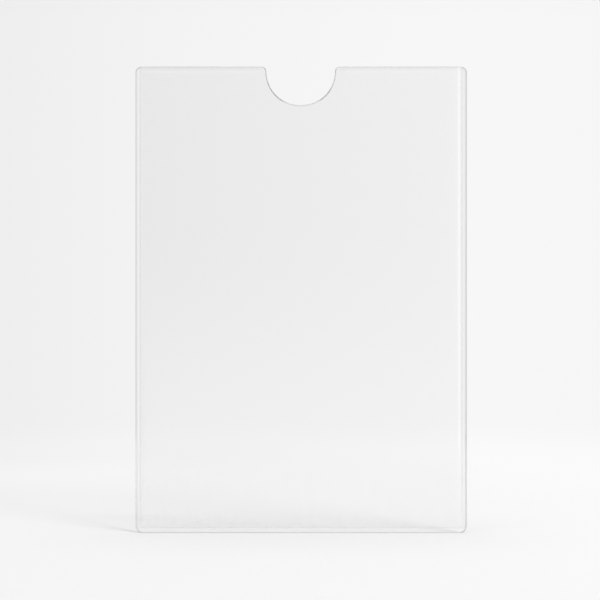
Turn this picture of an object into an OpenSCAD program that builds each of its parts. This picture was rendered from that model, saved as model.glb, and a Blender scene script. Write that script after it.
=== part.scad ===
// Clear card sleeve for one A6 card. Two plastic sheets are welded together along
// the left, right and bottom edges. The top is the open mouth, and a half-round
// thumb notch is cut through both sheets so that the card can be gripped.
//
// Frame: millimetres, +Z up the sleeve, +X across it and -Y out of its front.
// The origin is the middle of the bottom edge that the sleeve stands on.

/* [Card] */
// Width of the card that the pocket takes
card_w = 105; // [50:1:220]
// Height of the card that the pocket takes
card_h = 148; // [70:1:310]

/* [Pocket] */
// Free width on each side of the card
side_play = 0.8; // [0.4:0.1:3]
// Height of the mouth above the top of the card
head_room = 6; // [2:0.1:15]
// Gap between the two sheets
pocket_gap = 0.8; // [0.4:0.05:2]
// Radius of the pocket's two bottom corners
pocket_corner_r = 0.8; // [0.4:0.1:6]

/* [Sheets] */
// Thickness of each sheet
sheet_t = 0.3; // [0.15:0.05:0.8]

/* [Weld] */
// Width of the fused band along the outer edge
band_w = 1.6; // [1:0.1:4]
// Thickness of the fused band where it is pressed flat
band_t = 0.9; // [0.6:0.05:0.95]
// Width of the slope from the flat of the band up to the faces of the sheets
ramp_w = 0.4; // [0.2:0.05:0.8]
// Radius of the two long corners of the band's outer edge
band_edge_r = 0.25; // [0.1:0.05:0.4]
// Width of the melted bead between the sheets
bead_w = 0.8; // [0.4:0.1:2]
// Radius of the two long corners of the bead's inner edge
bead_edge_r = 0.3; // [0.1:0.05:0.8]

/* [Mouth] */
// Radius of the sleeve's two top corners
top_corner_r = 2; // [0.5:0.1:5]
// Radius of the half-round thumb notch
notch_r = 11.5; // [6:0.5:20]
// Straight run between the mouth and the half-round of the notch
notch_flank = 1.5; // [0.5:0.1:8]
// Radius of the corners where the notch meets the mouth
notch_corner_r = 1.4; // [0.2:0.1:4]

/* [Hidden] */
$fn = 96;

// How far a cutter runs past what it cuts
cut_margin = 1;
// Least wall that a rounding leaves standing
least_flat = 0.02;

clear_plastic = [0.91, 0.92, 0.93, 0.35];
weld_plastic = [0.96, 0.97, 0.98, 0.55];

seam_w = band_w + bead_w;
sleeve_w = card_w + 2 * (side_play + seam_w);
sleeve_h = seam_w + card_h + head_room;
sleeve_t = pocket_gap + 2 * sheet_t;
corner_r = pocket_corner_r + seam_w;

// Roundings, limited by the walls that carry them
edge_r = min(band_edge_r, band_t / 2 - least_flat);
nose_r = min(bead_edge_r, pocket_gap / 2 - least_flat, bead_w - least_flat);
mouth_r = min(notch_corner_r, notch_flank);

// Cross-section of the weld: x runs in from the outer edge, y through the thickness.
// The band is pressed thinner than the sleeve and slopes up to the faces of the sheets.
module weld_profile() {
    ramp_x = band_w - ramp_w;
    translate([0, edge_r - band_t / 2])
        square([band_w, band_t - 2 * edge_r]);
    translate([edge_r, -band_t / 2])
        square([band_w - edge_r, band_t]);
    for (side = [-1, 1])
        translate([edge_r, side * (band_t / 2 - edge_r)])
            circle(edge_r);
    polygon([
        [ramp_x, -band_t / 2],
        [band_w, -sleeve_t / 2],
        [band_w, sleeve_t / 2],
        [ramp_x, band_t / 2]
    ]);
    bead_profile();
}

// Bead between the sheets, rooted in the band, with a rounded inner edge
module bead_profile() {
    root = band_w / 2;
    translate([root, -pocket_gap / 2])
        square([seam_w - nose_r - root, pocket_gap]);
    translate([root, nose_r - pocket_gap / 2])
        square([seam_w - root, pocket_gap - 2 * nose_r]);
    for (side = [-1, 1])
        translate([seam_w - nose_r, side * (pocket_gap / 2 - nose_r)])
            circle(nose_r);
}

// Region outside the rounded top corners, drawn as the front view
module top_corner_waste() {
    for (side = [-1, 1])
        translate([side * (sleeve_w / 2 - top_corner_r), sleeve_h - top_corner_r])
            difference() {
                translate([side < 0 ? -top_corner_r - cut_margin : 0, 0])
                    square(top_corner_r + cut_margin);
                circle(top_corner_r);
            }
}

// Thumb notch, drawn as the front view: half-round, straight flanks, rounded corners
module thumb_notch() {
    translate([0, sleeve_h - notch_flank])
        circle(notch_r);
    translate([-notch_r, sleeve_h - notch_flank])
        square([2 * notch_r, notch_flank + cut_margin]);
    difference() {
        translate([-notch_r - mouth_r, sleeve_h - mouth_r])
            square([2 * (notch_r + mouth_r), mouth_r + cut_margin]);
        for (side = [-1, 1])
            translate([side * (notch_r + mouth_r), sleeve_h - mouth_r])
                circle(mouth_r);
    }
}

// Outline of one sheet in the front view, up to the fused band on three sides
module sheet_outline() {
    half_w = sleeve_w / 2 - band_w;
    round_r = corner_r - band_w;
    difference() {
        union() {
            translate([-half_w, band_w + round_r])
                square([2 * half_w, sleeve_h - band_w - round_r]);
            translate([round_r - half_w, band_w])
                square([2 * (half_w - round_r), round_r + cut_margin]);
            for (side = [-1, 1])
                translate([side * (half_w - round_r), band_w + round_r])
                    circle(round_r);
        }
        top_corner_waste();
        thumb_notch();
    }
}

// One sheet, with its front face at depth y
module sheet(y) {
    translate([0, y + sheet_t, 0])
        rotate([90, 0, 0])
            linear_extrude(sheet_t)
                sheet_outline();
}

// Straight weld up the left edge, from the bottom corner to the rounded top corner
module side_weld() {
    color(weld_plastic)
        difference() {
            translate([-sleeve_w / 2, 0, corner_r])
                linear_extrude(sleeve_h - corner_r)
                    weld_profile();
            translate([0, sleeve_t / 2 + cut_margin, 0])
                rotate([90, 0, 0])
                    linear_extrude(sleeve_t + 2 * cut_margin)
                        top_corner_waste();
        }
}

// Weld round the bottom left corner, a quarter turn of the same cross-section
module corner_weld() {
    color(weld_plastic)
        translate([corner_r - sleeve_w / 2, 0, corner_r])
            rotate([90, 0, 0])
                rotate(180)
                    rotate_extrude(angle = 90)
                        translate([corner_r, 0])
                            mirror([1, 0])
                                weld_profile();
}

module front_sheet() {
    color(clear_plastic)
        sheet(-sleeve_t / 2);
}

module back_sheet() {
    color(clear_plastic)
        sheet(pocket_gap / 2);
}

module left_weld() {
    side_weld();
}

module right_weld() {
    mirror([1, 0, 0])
        side_weld();
}

// Straight weld along the bottom, between the two corners
module bottom_weld() {
    color(weld_plastic)
        translate([sleeve_w / 2 - corner_r, 0, 0])
            rotate([0, -90, 0])
                linear_extrude(sleeve_w - 2 * corner_r)
                    weld_profile();
}

module left_corner_weld() {
    corner_weld();
}

module right_corner_weld() {
    mirror([1, 0, 0])
        corner_weld();
}

front_sheet();
back_sheet();
left_weld();
right_weld();
bottom_weld();
left_corner_weld();
right_corner_weld();
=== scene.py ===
"""Clear card sleeve: two films of clear plastic in a welded rim, standing on a pale floor."""

import math
from collections import namedtuple

import bmesh
import bpy
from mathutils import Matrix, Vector, noise


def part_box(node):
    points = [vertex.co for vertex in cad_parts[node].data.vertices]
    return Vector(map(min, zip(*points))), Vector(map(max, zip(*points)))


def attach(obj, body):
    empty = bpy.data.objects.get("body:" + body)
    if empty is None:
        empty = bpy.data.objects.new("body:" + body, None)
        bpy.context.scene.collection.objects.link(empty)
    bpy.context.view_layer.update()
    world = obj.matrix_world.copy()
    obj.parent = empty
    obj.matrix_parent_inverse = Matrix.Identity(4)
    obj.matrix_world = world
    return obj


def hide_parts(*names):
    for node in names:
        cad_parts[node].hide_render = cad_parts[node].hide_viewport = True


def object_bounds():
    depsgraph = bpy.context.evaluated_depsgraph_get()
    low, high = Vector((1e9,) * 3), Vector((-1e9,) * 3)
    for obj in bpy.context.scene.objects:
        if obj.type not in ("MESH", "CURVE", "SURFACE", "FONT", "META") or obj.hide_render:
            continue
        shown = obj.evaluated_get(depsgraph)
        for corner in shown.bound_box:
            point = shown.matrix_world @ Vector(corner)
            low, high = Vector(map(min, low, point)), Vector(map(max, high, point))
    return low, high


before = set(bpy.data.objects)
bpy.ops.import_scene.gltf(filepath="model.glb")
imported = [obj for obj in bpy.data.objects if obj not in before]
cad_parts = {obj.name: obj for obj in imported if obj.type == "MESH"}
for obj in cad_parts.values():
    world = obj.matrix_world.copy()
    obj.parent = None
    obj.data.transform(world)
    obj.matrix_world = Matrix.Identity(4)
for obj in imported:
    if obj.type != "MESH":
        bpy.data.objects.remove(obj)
cad_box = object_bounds()

MM = 0.001

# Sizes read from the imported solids, in metres
SLEEVE_LOW, SLEEVE_HIGH = (Vector(corner) for corner in cad_box)
SHEET_LOW, SHEET_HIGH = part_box("front_sheet")
SLEEVE_W = SLEEVE_HIGH.x - SLEEVE_LOW.x
SLEEVE_H = SLEEVE_HIGH.z - SLEEVE_LOW.z
SLEEVE_T = SLEEVE_HIGH.y - SLEEVE_LOW.y
SHEET_T = SHEET_HIGH.y - SHEET_LOW.y
BAND_W = SHEET_LOW.z - SLEEVE_LOW.z
MOUTH_Z = SLEEVE_HIGH.z

# Outline in the front view, as the photograph shows it
CORNER_R = 2.4 * MM
TOP_CORNER_R = 2 * MM
NOTCH_X = -0.17 * MM
NOTCH_R = 11.6 * MM
NOTCH_FLANK = 1.4 * MM
NOTCH_CORNER_R = 1.4 * MM
NOTCH_HALF_W = NOTCH_R + NOTCH_CORNER_R
MOUTH_SAG = 0.06 * MM

# The weld is pressed from the front, so its band lies against the flat back film.
# Its brim thins towards the cut edge on the sides and is blunt at the foot.
BAND_T = 0.8 * MM
BAND_INSET = 0.04 * MM
BAND_BACK = SLEEVE_T / 2 - BAND_INSET
BAND_FRONT = BAND_BACK - BAND_T
CREST_W = 0.2 * MM
BRIM_W = 1.3 * MM
BRIM_T = 0.16 * MM
FOOT_BRIM_W = 0.27 * MM
FOOT_BRIM_T = 0.5 * MM
SEAT_GAP = 0.2 * MM
BEAD_PROUD = 0.05 * MM
BEAD_EDGE_R = 0.01 * MM
END_R = 0.65 * MM
END_TURN = math.radians(84)

# Unevenness of the melted seam: height, pitch along the weld and place in the noise
FRONT_WANDER = (0.012 * MM, 7 * MM, 1.5)
CREST_WANDER = (0.01 * MM, 0.9 * MM, 7.5)
NOSE_WANDER = (0.03 * MM, 2.5 * MM, 13.5)

# The front film rises from its weld like a pillow, bows a little and flares at the mouth.
# The back film is flat.
FRONT, BACK = -1, 1
FIT_GAP = 0.015 * MM
BACK_MID = SLEEVE_T / 2 - SHEET_T / 2
FRONT_SEAT = BACK_MID - SHEET_T - SEAT_GAP
PILLOW_RISE = FRONT_SEAT + BACK_MID
PILLOW_REACH = 1.6 * MM
BOW = 0.12 * MM
BOW_REACH = 12 * MM
LIP_FLARE = 0.13 * MM
LIP_DROP = 1.75 * MM
LIP_BEND = 0.7 * MM
LIP_FADE = 3 * MM
FILM_HALF_W = SLEEVE_W / 2 - BAND_W - FIT_GAP
FILM_CORNER_R = CORNER_R - BAND_W - FIT_GAP
FILM_LOW = SLEEVE_LOW.z + BAND_W + FIT_GAP

# How far the rounding of a film's edges reaches into the film
SEAT_R = 0.025 * MM
FOOT_SEAT_R = 0.02 * MM
MOUTH_EDGE_W = 0.17 * MM
NOTCH_EDGE_W = 0.28 * MM

# Fineness of the films' meshes. Rows and columns have a finest step, a coarsest one and a growth,
# with a row more just above the lower edge and a column more just inside the notch's flank.
ROW_STEPS = (0.34 * MM, 3 * MM, 1.06)
COLUMN_STEPS = (0.3 * MM, 2.5 * MM, 1.35)
FOOT_SEAT_H = 0.16 * MM
FLANK_INSET = 0.02 * MM
NOTCH_STEPS = 20
NOTCH_CORNER_STEPS = 6
FILM_CORNER_STEPS = 9
EDGE_STEPS = 12

# Fineness of the weld's mesh
RING_STEP = 0.3 * MM
BRIM_STEPS = 10
BEAD_STEPS = 4
END_STEPS = 8
CORNER_STEPS = 16

# Edges that turn by more than this stay sharp
SHARP_TURN = math.radians(50)

# Materials of a film and of the weld, and the parts that take them, in the same order
FILM_MATERIALS = ("clear_film", "cut_edge", "film_lip_painted_shade")
FILM_FACE, FILM_EDGE, FILM_PAINTED_SHADE = range(3)
RIM_MATERIALS = ("weld", "weld_edge", "cut_edge", "weld_edge_painted_shade", "weld_foot_painted_light")
RIM_BAND, RIM_BRIM, RIM_END, RIM_SHADED_BRIM, RIM_PAINTED_LIGHT_FOOT = range(5)
# Rows of faces in each film's lip that take painted shade, how far in the weld's brim goes, how high
# its low right part with painted shade goes, and how far sideways the way in points where the weld is a
# side and not the foot
LIP_ROWS = {FRONT: 2, BACK: 3}
CUT_BRIM_W = 0.8 * MM
SHADED_BRIM_H = 33 * MM
UPRIGHT_WAY = 0.5

# Grey level, range of roughness, and what each face lets through to the floor
PLASTICS = {
    "clear_film": (0.975, (0.01, 0.04), 0.976),
    # A greyer copy of the film's plastic, as painted shade that darkens the lines at the mouth and
    # along the foot
    "film_lip_painted_shade": (0.945, (0.02, 0.06), 0.95),
    "cut_edge": (0.84, (0.03, 0.1), 0.6),
    "weld": (0.948, (0.01, 0.06), 0.62),
    "weld_edge": (0.86, (0.03, 0.1), 0.62),
    # A darker copy of the brim's plastic, as painted shade on the weld's low right part
    "weld_edge_painted_shade": (0.785, (0.03, 0.1), 0.62),
    # A paler copy of the weld's plastic, as painted light on the foot over the floor's painted shadow
    "weld_foot_painted_light": (0.99, (0.01, 0.06), 0.62),
}
PLASTIC_IOR = 1.53
# Drawing streaks, in repeats to a metre, and the part of their noise that the roughness follows
STREAK_SCALE = (420, 420, 14)
STREAK_SPAN = (0.35, 0.7)
# Ripples, in repeats to a metre, and their height
RIPPLE_SCALE = 38
RIPPLE_H = 0.01 * MM

# Where the photograph shows the sleeve, in pixels of its square frame
FRAME_PX = 600
SLEEVE_PX_W = 332.1
SLEEVE_PX_MID = (301.18, 299.75)
# Focal length and width of the camera's sensor
LENS_MM = 100
SENSOR_MM = 36

# Brightness of the studio round the sleeve, by degrees from straight behind it, positive to the right
STUDIO_LEVELS = (
    (-180, 0.71),
    (-172, 0.6),
    (-160, 0.6),
    (-140, 0.74),
    (-45, 0.77),
    (-30, 0.78),
    (-18, 0.8),
    (-12, 0.845),
    (-9.3, 0.863),
    (-6, 0.886),
    (-2.6, 0.904),
    (2.6, 0.922),
    (6, 0.93),
    (9.3, 0.925),
    (12, 0.92),
    (18, 0.82),
    (30, 0.79),
    (45, 0.77),
    (140, 0.74),
    (146, 0.78),
    (149, 1.9),
    (154, 1.9),
    (160, 0.95),
    (172, 0.82),
    (180, 0.71),
)
# Brightness overhead, by height of the direction
SKY_LEVELS = ((0.3, 0.5), (0.6, 0.54), (0.8, 0.57), (1.0, 0.6))
# Spans of the direction over which the sky takes over, the low front turns pale
# and the backdrop sweeps up out of the floor
SKY_RISE = (0.16, 0.34)
FRONT_WAY = (-0.87, -0.955)
FRONT_FALL = (0.05, -0.11)
FRONT_LEVEL = 0.97
SWEEP_WAY = (0.7, 0.9)
SWEEP_FALL = (-0.069, -0.097)
SWEEP_GAIN = 0.035

# Soft boxes: name, degrees to the right of the front, degrees up, size in metres and watts
LAMPS = (
    ("key", 43, 38, 1.3, 116),
    ("fill", -48, 35, 1.4, 22),
)
LAMP_DISTANCE = 4.0

# Floor: distances at which its paper turns into plain light and fades out, in metres
FLOOR_R = 0.4
FLOOR_SEGMENTS = 128
PAPER_FADE = (0.2, 0.3)
LIGHT_FADE = (0.3, FLOOR_R)
# Painted light: the paper is painted lighter to the right and the back, and the plain light gets
# lighter to the right
PAINTED_LIGHT_LEAN = (0.085, 0.18, 0)
PAPER_SPAN = (-0.1, 0.1)
PAPER_LEVELS = (0.765, 0.965)
LIGHT_SPAN = (-0.15, 0.06)
LIGHT_LEVELS = (0.88, 0.957)
# Soft shadows painted on the paper round the foot: middle, degrees of turn, reach, where the fade
# starts and darkest level
PAINTED_FLOOR_SHADOWS = (
    ((0, 0, 0), 0, (0.125, 0.0625, 1), 0.15, 0.963),
    ((-0.045, 0.034, 0), -15, (0.065, 0.019, 1), 0.0, 0.96),
)


def make_camera():
    """Level camera at half the sleeve's height, at the photograph's scale."""
    data = bpy.data.cameras.new("camera")
    data.lens = LENS_MM
    data.sensor_width = SENSOR_MM
    data.clip_start = 0.01
    data.clip_end = 50
    px_per_m = SLEEVE_PX_W / SLEEVE_W
    distance = LENS_MM / SENSOR_MM * FRAME_PX / px_per_m
    camera = bpy.data.objects.new("camera", data)
    camera.location = (
        (FRAME_PX / 2 - SLEEVE_PX_MID[0]) / px_per_m,
        SLEEVE_LOW.y - distance,
        SLEEVE_LOW.z + SLEEVE_H / 2 - (FRAME_PX / 2 - SLEEVE_PX_MID[1]) / px_per_m,
    )
    camera.rotation_euler = (math.pi / 2, 0, 0)
    bpy.context.scene.collection.objects.link(camera)
    bpy.context.scene.camera = camera


def grey(level):
    """A colour from its grey level."""
    return (level, level, level, 1)


def feed(tree, socket, value):
    """Links an input to an output, or gives it a plain value."""
    if isinstance(value, bpy.types.NodeSocket):
        tree.links.new(value, socket)
    else:
        socket.default_value = value


def add_node(tree, kind, **inputs):
    """Adds a shader node and feeds its named inputs. Underscores in a name stand for spaces."""
    made = tree.nodes.new("ShaderNode" + kind)
    for name, value in inputs.items():
        feed(tree, made.inputs[name.replace("_", " ")], value)
    return made


def add_range(tree, value, span, levels=(0.0, 1.0), smooth=False):
    """Maps a value from a span to levels."""
    made = add_node(tree, "MapRange", Value=value, From_Min=span[0], From_Max=span[1])
    made.inputs["To Min"].default_value = levels[0]
    made.inputs["To Max"].default_value = levels[1]
    made.interpolation_type = "SMOOTHSTEP" if smooth else "LINEAR"
    return made.outputs["Result"]


def add_ramp(tree, value, levels, span):
    """Grey levels by value, straight from one to the next."""
    low, high = span
    made = add_node(tree, "ValToRGB", Fac=add_range(tree, value, span))
    stops = made.color_ramp.elements
    while len(stops) < len(levels):
        stops.new(0.5)
    for stop, (place, level) in zip(stops, levels):
        stop.position = (place - low) / (high - low)
        stop.color = grey(level)
    return made.outputs["Color"]


def add_mix(tree, share, first, second):
    """Mixes two colours."""
    made = add_node(tree, "MixRGB", Fac=share)
    feed(tree, made.inputs[1], first)
    feed(tree, made.inputs[2], second)
    return made.outputs["Color"]


def add_shader_mix(tree, share, first, second):
    """Mixes two shaders."""
    made = add_node(tree, "MixShader", Fac=share)
    feed(tree, made.inputs[1], first)
    feed(tree, made.inputs[2], second)
    return made.outputs["Shader"]


def add_math(tree, operation, *values):
    """A number worked out from others."""
    made = add_node(tree, "Math")
    made.operation = operation
    for socket, value in zip(made.inputs, values):
        feed(tree, socket, value)
    return made.outputs["Value"]


def add_measure(tree, operation, *vectors):
    """A number worked out from vectors."""
    made = add_node(tree, "VectorMath")
    made.operation = operation
    for socket, vector in zip(made.inputs, vectors):
        feed(tree, socket, vector)
    return made.outputs["Value"]


def empty_material(name):
    """A material with no nodes but its output."""
    material = bpy.data.materials.new(name)
    material.use_nodes = True
    tree = material.node_tree
    tree.nodes.clear()
    return material, tree, tree.nodes.new("ShaderNodeOutputMaterial")


def clear_plastic(name, level, roughness, let_through):
    """Clear plastic with drawing streaks and ripples. level and let_through are grey levels."""
    material, tree, output = empty_material(name)
    place = add_node(tree, "TexCoord").outputs["Object"]
    drawn = add_node(tree, "Mapping", Vector=place, Scale=STREAK_SCALE)
    streaks = add_node(tree, "TexNoise", Vector=drawn.outputs["Vector"], Scale=1.0, Detail=3.0)
    ripples = add_node(tree, "TexNoise", Vector=place, Scale=RIPPLE_SCALE, Detail=2.0)
    uneven = add_node(tree, "Bump", Height=ripples.outputs["Fac"], Strength=1.0, Distance=RIPPLE_H)
    plastic = add_node(
        tree,
        "BsdfPrincipled",
        Base_Color=grey(level),
        Roughness=add_range(tree, streaks.outputs["Fac"], STREAK_SPAN, roughness),
        Normal=uneven.outputs["Normal"],
        IOR=PLASTIC_IOR,
        Transmission_Weight=1.0,
    )
    clear = add_node(tree, "BsdfTransparent", Color=grey(let_through)).outputs["BSDF"]
    path = add_node(tree, "LightPath").outputs
    for_floor = add_shader_mix(tree, path["Is Diffuse Ray"], plastic.outputs["BSDF"], clear)
    for_lamps = add_shader_mix(tree, path["Is Shadow Ray"], for_floor, clear)
    tree.links.new(for_lamps, output.inputs["Surface"])
    return material


def add_piece(name, mesh, materials):
    """Puts a mesh, made with bmesh, in the scene as a named piece, smooth but for its sharp edges."""
    bmesh.ops.recalc_face_normals(mesh, faces=mesh.faces)
    for face in mesh.faces:
        face.smooth = True
    data = bpy.data.meshes.new(name)
    mesh.to_mesh(data)
    mesh.free()
    data.set_sharp_from_angle(angle=SHARP_TURN)
    for material in materials:
        data.materials.append(material)
    piece = bpy.data.objects.new(name, data)
    bpy.context.scene.collection.objects.link(piece)
    return piece


def graded(low, high, fine, coarse, growth):
    """Places from low to high, finely spaced at both ends and coarsely between."""
    half, step, places = (high - low) / 2, fine, [0.0]
    while places[-1] + step < half:
        places.append(places[-1] + step)
        step = min(step * growth, coarse)
    return [low + p for p in places] + [high - p for p in reversed(places)]


def quarter_turn(steps):
    """Angles from nothing to a right angle."""
    return [math.pi / 2 * step / steps for step in range(steps + 1)]


def smoothstep(share):
    """Rises smoothly from 0 to 1 as share does, and stays there."""
    share = min(max(share, 0), 1)
    return share * share * (3 - 2 * share)


def from_notch(x):
    """Distance of a place from the middle of the thumb notch."""
    return abs(x - NOTCH_X)


def film_bottom(x):
    """Height of a film's lower edge, which runs round its two corners."""
    past = abs(x) - (FILM_HALF_W - FILM_CORNER_R)
    if past <= 0:
        return FILM_LOW
    return FILM_LOW + FILM_CORNER_R - math.sqrt(max(FILM_CORNER_R**2 - past**2, 0))


def film_top(x):
    """Height of a film's upper edge: the mouth, its rounded ends and the thumb notch."""
    across = abs(x)
    mouth = MOUTH_Z - MOUTH_SAG * math.cos(min(across / FILM_HALF_W, 1) * math.pi / 2) ** 2
    if from_notch(x) < NOTCH_R:
        return MOUTH_Z - NOTCH_FLANK - math.sqrt(NOTCH_R**2 - from_notch(x) ** 2)
    if from_notch(x) < NOTCH_HALF_W:
        inward = NOTCH_HALF_W - from_notch(x)
        return mouth - NOTCH_CORNER_R + math.sqrt(max(NOTCH_CORNER_R**2 - inward**2, 0))
    past = across - (SLEEVE_W / 2 - TOP_CORNER_R)
    if past > 0:
        return mouth - TOP_CORNER_R + math.sqrt(TOP_CORNER_R**2 - past**2)
    return mouth


def film_columns():
    """Places across a film: close together round its corners, along the notch and near the welds."""
    notch = [NOTCH_R * math.sin(turn) for turn in quarter_turn(NOTCH_STEPS)[:-1]]
    notch.append(NOTCH_R - FLANK_INSET)
    turns = quarter_turn(NOTCH_CORNER_STEPS)[:-1]
    corner = [NOTCH_HALF_W - NOTCH_CORNER_R * math.cos(turn) for turn in turns]
    panel = graded(NOTCH_HALF_W, FILM_HALF_W - FILM_CORNER_R, *COLUMN_STEPS)
    turns = quarter_turn(FILM_CORNER_STEPS)[1:]
    end = [FILM_HALF_W - FILM_CORNER_R * (1 - math.sin(turn)) for turn in turns]
    right = notch + corner + panel + end
    columns = [-x for x in reversed(right[1:])] + right
    return [x + NOTCH_X if abs(x) <= NOTCH_HALF_W else x for x in columns]


def film_grid(columns):
    """Points of a film in the front view, column by column from the bottom up."""
    rows = graded(FILM_LOW, MOUTH_Z, *ROW_STEPS)
    rows.insert(1, FILM_LOW + FOOT_SEAT_H)
    shares = [(z - FILM_LOW) / (MOUTH_Z - FILM_LOW) for z in rows]
    grid = []
    for x in columns:
        low, high = film_bottom(x), film_top(x)
        grid.append([Vector((x, low + (high - low) * share)) for share in shares])
    return grid


def grid_loop(last_col, last_row):
    """Column and row of each point round the edge of a grid, anticlockwise from the bottom left."""
    loop = [(i, 0) for i in range(last_col)]
    loop += [(last_col, j) for j in range(last_row)]
    loop += [(i, last_row) for i in range(last_col, 0, -1)]
    loop += [(0, j) for j in range(last_row, 0, -1)]
    return loop


def film_depth(side, x, z):
    """Depth of a film's middle: its seat at the weld, its rise from there and the flare of the lip."""

    def rise(reach):
        from_side = 1 - math.exp(-max(FILM_HALF_W - abs(x), 0) / reach)
        return from_side * (1 - math.exp(-max(z - FILM_LOW, 0) / reach))

    if side == BACK:
        return BACK_MID
    in_lip = smoothstep((LIP_DROP - MOUTH_Z + z) / LIP_BEND + 0.5)
    flare = LIP_FLARE * in_lip * smoothstep((from_notch(x) - NOTCH_HALF_W) / LIP_FADE)
    return FRONT_SEAT - flare - PILLOW_RISE * rise(PILLOW_REACH) - BOW * rise(BOW_REACH)


def edge_width(x, row, last_row):
    """How far the rounding of a film's edge reaches in: a little at the weld, more at the cut edges."""
    if row < last_row:
        return SEAT_R if row > 0 else FOOT_SEAT_R
    in_notch = min(max((NOTCH_HALF_W - from_notch(x)) / NOTCH_CORNER_R, 0), 1)
    return MOUTH_EDGE_W + (NOTCH_EDGE_W - MOUTH_EDGE_W) * in_notch


def outline_normals(points):
    """Outward directions at the points of a closed outline that runs anticlockwise."""
    normals = []
    for i, point in enumerate(points):
        before = (point - points[i - 1]).normalized()
        after = (points[(i + 1) % len(points)] - point).normalized()
        along = (before + after).normalized()
        normals.append(Vector((along.y, -along.x)))
    return normals


def make_film(name, side, materials):
    """One film as a closed solid with rounded edges. side is FRONT or BACK."""
    columns = film_columns()
    grid = film_grid(columns)
    last_row = len(grid[0]) - 1
    loop = grid_loop(len(grid) - 1, last_row)
    normals = outline_normals([grid[i][j] for i, j in loop])
    widths = [edge_width(columns[i], j, last_row) for i, j in loop]
    for (i, j), normal, width in zip(loop, normals, widths):
        grid[i][j] = grid[i][j] - normal * width
    mesh = bmesh.new()

    def vertex(place, through):
        return mesh.verts.new((place.x, film_depth(side, place.x, place.y) + through, place.y))

    # The two faces
    borders = []
    for through in (SHEET_T / 2, -SHEET_T / 2):
        made = [[vertex(place, through) for place in column] for column in grid]
        for i, (left, right) in enumerate(zip(made, made[1:])):
            by_mouth = from_notch((columns[i] + columns[i + 1]) / 2) > NOTCH_HALF_W
            for j, corners in enumerate(zip(left, left[1:], right[1:], right)):
                # The lip rows by the mouth take the greyer plastic, as painted shade
                in_lip = by_mouth and j >= last_row - LIP_ROWS[side]
                mesh.faces.new(corners).material_index = FILM_PAINTED_SHADE if in_lip else FILM_FACE
        borders.append([made[i][j] for i, j in loop])

    # The rounded edge between them
    rings = [borders[0]]
    for step in range(1, EDGE_STEPS):
        turn = math.pi * step / EDGE_STEPS
        ring = []
        for (i, j), normal, width in zip(loop, normals, widths):
            place = grid[i][j] + normal * width * math.sin(turn)
            ring.append(vertex(place, SHEET_T / 2 * math.cos(turn)))
        rings.append(ring)
    rings.append(borders[1])
    for ring, following in zip(rings, rings[1:]):
        for k in range(len(loop)):
            n = (k + 1) % len(loop)
            face = mesh.faces.new((ring[k], ring[n], following[n], following[k]))
            # The seat ring along the foot takes the greyer plastic, as painted shade
            at_foot = loop[k][1] == loop[n][1] == 0
            face.material_index = FILM_PAINTED_SHADE if at_foot else FILM_EDGE
    return add_piece(name, mesh, materials)


# A place along the weld: its distance along it, a point on the outer edge, the way in from there,
# its share of the side's height, and its drop and thickness at the rounded end
WeldPlace = namedtuple("WeldPlace", "along edge way share drop thick")


def weld_route():
    """Places along the weld: down from the mouth's left end, along the bottom and up the right side."""
    mouth = (SLEEVE_LOW.x, MOUTH_Z)
    straight = SLEEVE_H - CORNER_R
    arc = CORNER_R * math.pi / 2
    half_bottom = SLEEVE_W / 2 - CORNER_R
    route = []
    for i in range(END_STEPS):
        turn = END_TURN * (1 - i / (END_STEPS - 1))
        drop = END_R * (1 - math.sin(turn))
        route.append(WeldPlace(0, mouth, (1, 0), 1, drop, math.cos(turn)))
    steps = round(straight / RING_STEP)
    for i in range(1, steps):
        route.append(WeldPlace(straight * i / steps, mouth, (1, 0), 1 - i / steps, END_R, 1))
    for i, turn in enumerate(quarter_turn(CORNER_STEPS)[:-1]):
        way = (math.cos(turn), math.sin(turn))
        edge = (SLEEVE_LOW.x + CORNER_R * (1 - way[0]), SLEEVE_LOW.z + CORNER_R * (1 - way[1]))
        route.append(WeldPlace(straight + arc * i / CORNER_STEPS, edge, way, 0, 0, 1))
    steps = round(half_bottom / RING_STEP)
    for i in range(steps + 1):
        along = straight + arc + half_bottom * i / steps
        edge = (half_bottom * (i / steps - 1), SLEEVE_LOW.z)
        route.append(WeldPlace(along, edge, (0, 1), 0, 0, 1))
    length = 2 * (straight + arc + half_bottom)
    for place in reversed(route[:-1]):
        edge = (-place.edge[0], place.edge[1])
        way = (-place.way[0], place.way[1])
        route.append(place._replace(along=length - place.along, edge=edge, way=way))
    return route


def wander(along, height, pitch, seed):
    """How far a melted face strays at a distance along the weld."""
    return height * noise.noise(Vector((along / pitch, seed, 0)))


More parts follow.
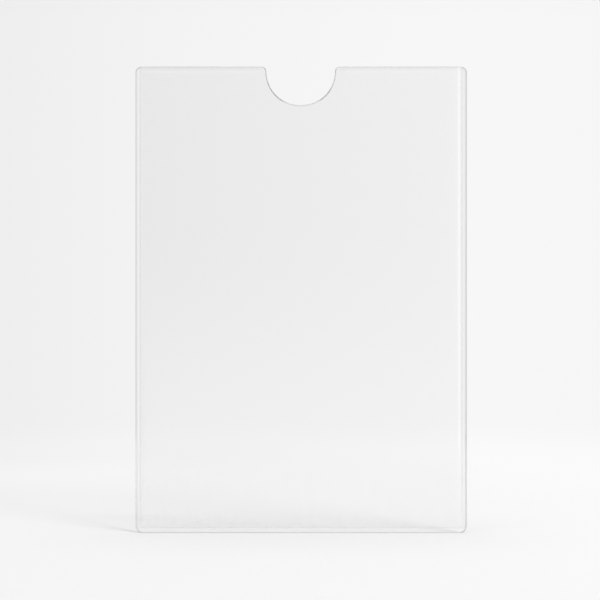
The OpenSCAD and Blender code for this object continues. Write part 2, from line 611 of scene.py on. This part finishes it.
def weld_section(along, foot=0.0):
    """Cross-section of the weld, as distances in from its outer edge and depths.

    foot goes from 0 on the sides to 1 at the bottom.
    """
    front = BAND_FRONT + wander(along, *FRONT_WANDER)
    crest = front + wander(along, *CREST_WANDER)
    nose = BAND_W + BEAD_PROUD + wander(along, *NOSE_WANDER) - BEAD_EDGE_R
    bead_front = FRONT_SEAT + SHEET_T / 2 + FIT_GAP
    bead_back = BACK_MID - SHEET_T / 2 - FIT_GAP
    middle = (front + BAND_BACK) / 2
    half = (BAND_BACK - front) / 2
    shares = [step / BRIM_STEPS for step in range(BRIM_STEPS + 1)]
    brim_w = BRIM_W + (FOOT_BRIM_W - BRIM_W) * foot
    brim_t = BRIM_T + (FOOT_BRIM_T - BRIM_T) * foot

    def brim_half(share):
        return brim_t / 2 + (half - brim_t / 2) * (1 - (1 - share) ** 2)

    bead = []
    for turn in quarter_turn(BEAD_STEPS):
        bead.append((nose + BEAD_EDGE_R * math.cos(turn), BEAD_EDGE_R * (1 - math.sin(turn))))
    section = [(inward, bead_front + depth) for inward, depth in bead]
    section += [(BAND_W, bead_front), (BAND_W, front)]
    section += [(BAND_W - CREST_W / 2, crest), (BAND_W - CREST_W, front)]
    section += [(brim_w * share, middle - brim_half(share)) for share in reversed(shares)]
    section += [(brim_w * share, middle + brim_half(share)) for share in shares]
    section += [(BAND_W - CREST_W, BAND_BACK), (BAND_W - CREST_W / 2, BAND_BACK)]
    section += [(BAND_W, BAND_BACK), (BAND_W, bead_back)]
    section += [(inward, bead_back - depth) for inward, depth in reversed(bead)]
    return section


def weld_end(inward):
    """Height at which the weld ends, at a distance in from its outer edge: the rounded top corner."""
    past = max(TOP_CORNER_R - inward, 0)
    return MOUTH_Z - TOP_CORNER_R + math.sqrt(TOP_CORNER_R**2 - past**2)


def rim_ring(mesh, place):
    """Points of the weld's cross-section at a place along it."""
    foot = SLEEVE_LOW.z + CORNER_R
    centre = (BAND_FRONT + BAND_BACK) / 2
    ring = []
    for inward, through in weld_section(place.along, place.way[1] ** 2):
        x = place.edge[0] + place.way[0] * inward
        z = place.edge[1] + place.way[1] * inward
        if place.share > 0:
            z = foot + (weld_end(inward) - place.drop - foot) * place.share
        ring.append(mesh.verts.new((x, centre + (through - centre) * place.thick, z)))
    return ring


def make_rim(name, materials):
    """The weld round three sides as one closed solid, greyer towards its cut outer edge, with painted
    shade on its low right brim and painted light on its foot.
    """
    mesh = bmesh.new()
    route = weld_route()
    rings = [rim_ring(mesh, place) for place in route]
    count = len(rings[0])
    cut = [inward < CUT_BRIM_W for inward, through in weld_section(0)]
    for k, (ring, following) in enumerate(zip(rings, rings[1:])):
        at_end = k < END_STEPS - 1 or k > len(rings) - END_STEPS - 1
        upright = abs(route[k].way[0]) > UPRIGHT_WAY
        # The brim's low right part takes the darker plastic, as painted shade
        in_painted_shade = ring[0].co.x > 0 and ring[0].co.z < SLEEVE_LOW.z + SHADED_BRIM_H
        for i in range(count):
            j = (i + 1) % count
            face = mesh.faces.new((ring[i], ring[j], following[j], following[i]))
            if at_end:
                face.material_index = RIM_END
            elif cut[i] and cut[j]:
                face.material_index = RIM_BRIM if upright and not in_painted_shade else RIM_SHADED_BRIM
            else:
                # The band along the foot takes the paler plastic, as painted light
                face.material_index = RIM_BAND if upright else RIM_PAINTED_LIGHT_FOOT
    for ring in (rings[0], rings[-1]):
        for i in range(count // 2 - 1):
            j = count - 1 - i
            mesh.faces.new((ring[i], ring[i + 1], ring[j - 1], ring[j])).material_index = RIM_END
    return add_piece(name, mesh, materials)


def make_world():
    """Studio light: bright behind and at the front right, darker sides, a pale low front and a sky."""
    world = bpy.data.worlds.new("studio")
    world.use_nodes = True
    bpy.context.scene.world = world
    tree = world.node_tree
    tree.nodes.clear()
    place = add_node(tree, "TexCoord").outputs["Generated"]
    way = add_node(tree, "SeparateXYZ", Vector=place).outputs
    turn = add_math(tree, "ARCTAN2", way["X"], way["Y"])
    turn = add_math(tree, "MULTIPLY", turn, 180 / math.pi)
    walls = add_ramp(tree, turn, STUDIO_LEVELS, (-180, 180))
    sky = add_ramp(tree, way["Z"], SKY_LEVELS, (0, 1))
    upper = add_mix(tree, add_range(tree, way["Z"], SKY_RISE, smooth=True), walls, sky)
    in_front = add_range(tree, way["Y"], FRONT_WAY, smooth=True)
    down = add_range(tree, way["Z"], FRONT_FALL, smooth=True)
    low_front = add_math(tree, "MULTIPLY", in_front, down)
    level = add_mix(tree, low_front, upper, grey(FRONT_LEVEL))
    behind = add_range(tree, way["Y"], SWEEP_WAY, smooth=True)
    below = add_range(tree, way["Z"], SWEEP_FALL, smooth=True)
    sweep = add_math(tree, "MULTIPLY", behind, below)
    strength = add_math(tree, "MULTIPLY_ADD", sweep, SWEEP_GAIN, 1.0)
    light = add_node(tree, "Background", Color=level, Strength=strength)
    output = tree.nodes.new("ShaderNodeOutputWorld")
    tree.links.new(light.outputs["Background"], output.inputs["Surface"])


def make_lamp(name, azimuth, elevation, size, watts):
    """Soft box aimed at the sleeve. azimuth 0 is straight in front, and positive is to the right."""
    data = bpy.data.lights.new(name, "AREA")
    data.shape = "SQUARE"
    data.size = size
    data.energy = watts
    lamp = bpy.data.objects.new(name, data)
    turn, lift = math.radians(azimuth), math.radians(elevation)
    across, outward = math.sin(turn) * math.cos(lift), math.cos(turn) * math.cos(lift)
    way = Vector((across, -outward, math.sin(lift)))
    lamp.location = Vector((0, 0, SLEEVE_H / 2)) + way * LAMP_DISTANCE
    lamp.rotation_euler = way.to_track_quat("Z", "Y").to_euler()
    lamp.visible_camera = False
    lamp.visible_glossy = False
    lamp.visible_transmission = False
    bpy.context.scene.collection.objects.link(lamp)


def paper_level(tree, place):
    """Grey level of the floor's paper, with painted light across it and painted soft shadows round the
    sleeve's foot.
    """
    # Painted light across the paper, lighter to the right and the back
    lean = add_measure(tree, "DOT_PRODUCT", place, PAINTED_LIGHT_LEAN)
    level = add_range(tree, lean, PAPER_SPAN, PAPER_LEVELS)
    # Painted soft shadows round the sleeve's foot, multiplied into the paper's grey
    for middle, turn, reach, start, darkest in PAINTED_FLOOR_SHADOWS:
        spot = add_node(tree, "Mapping", Vector=place, Location=middle, Scale=reach)
        spot.vector_type = "TEXTURE"
        spot.inputs["Rotation"].default_value = (0, 0, math.radians(turn))
        near = add_measure(tree, "LENGTH", spot.outputs["Vector"])
        shade = add_range(tree, near, (start, 1), (darkest, 1.0), smooth=True)
        level = add_math(tree, "MULTIPLY", level, shade)
    return level


def floor_material():
    """Paper that turns into plain light away from the sleeve and then fades out."""
    material, tree, output = empty_material("floor")
    place = add_node(tree, "TexCoord").outputs["Object"]
    far = add_measure(tree, "LENGTH", place)
    to_light = add_range(tree, far, PAPER_FADE, smooth=True)
    to_nothing = add_range(tree, far, LIGHT_FADE, smooth=True)
    paper = add_node(tree, "BsdfDiffuse", Color=paper_level(tree, place))
    across = add_node(tree, "SeparateXYZ", Vector=place).outputs["X"]
    light = add_node(tree, "Emission", Color=add_range(tree, across, LIGHT_SPAN, LIGHT_LEVELS))
    nothing = add_node(tree, "BsdfTransparent")
    lit = add_shader_mix(tree, to_light, paper.outputs["BSDF"], light.outputs["Emission"])
    faded = add_shader_mix(tree, to_nothing, lit, nothing.outputs["BSDF"])
    tree.links.new(faded, output.inputs["Surface"])
    return material


def make_floor():
    """Pale round floor under the sleeve, which the films don't mirror."""
    mesh = bmesh.new()
    bmesh.ops.create_circle(mesh, cap_ends=True, segments=FLOOR_SEGMENTS, radius=FLOOR_R)
    data = bpy.data.meshes.new("floor")
    mesh.to_mesh(data)
    mesh.free()
    data.materials.append(floor_material())
    floor = bpy.data.objects.new("floor", data)
    floor.location.z = SLEEVE_LOW.z
    floor.visible_glossy = False
    bpy.context.scene.collection.objects.link(floor)


make_camera()

plastics = {name: clear_plastic(name, *look) for name, look in PLASTICS.items()}
film_plastics = [plastics[name] for name in FILM_MATERIALS]
rim_plastics = [plastics[name] for name in RIM_MATERIALS]
front_film = make_film("front_film", FRONT, film_plastics)
back_film = make_film("back_film", BACK, film_plastics)
weld_rim = make_rim("weld_rim", rim_plastics)

for piece, node, slot in (
    (front_film, ("front_sheet",), "clear_film"),
    (back_film, ("back_sheet",), "clear_film"),
    (
        weld_rim,
        ("left_weld", "right_weld", "bottom_weld", "left_corner_weld", "right_corner_weld"),
        "weld",
    ),
):
    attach(piece, "root")
    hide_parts(*node)

make_world()
for lamp_values in LAMPS:
    make_lamp(*lamp_values)
make_floor()
bpy.context.scene.view_settings.view_transform = "Standard"
bpy.context.scene.cycles.denoising_input_passes = "RGB"
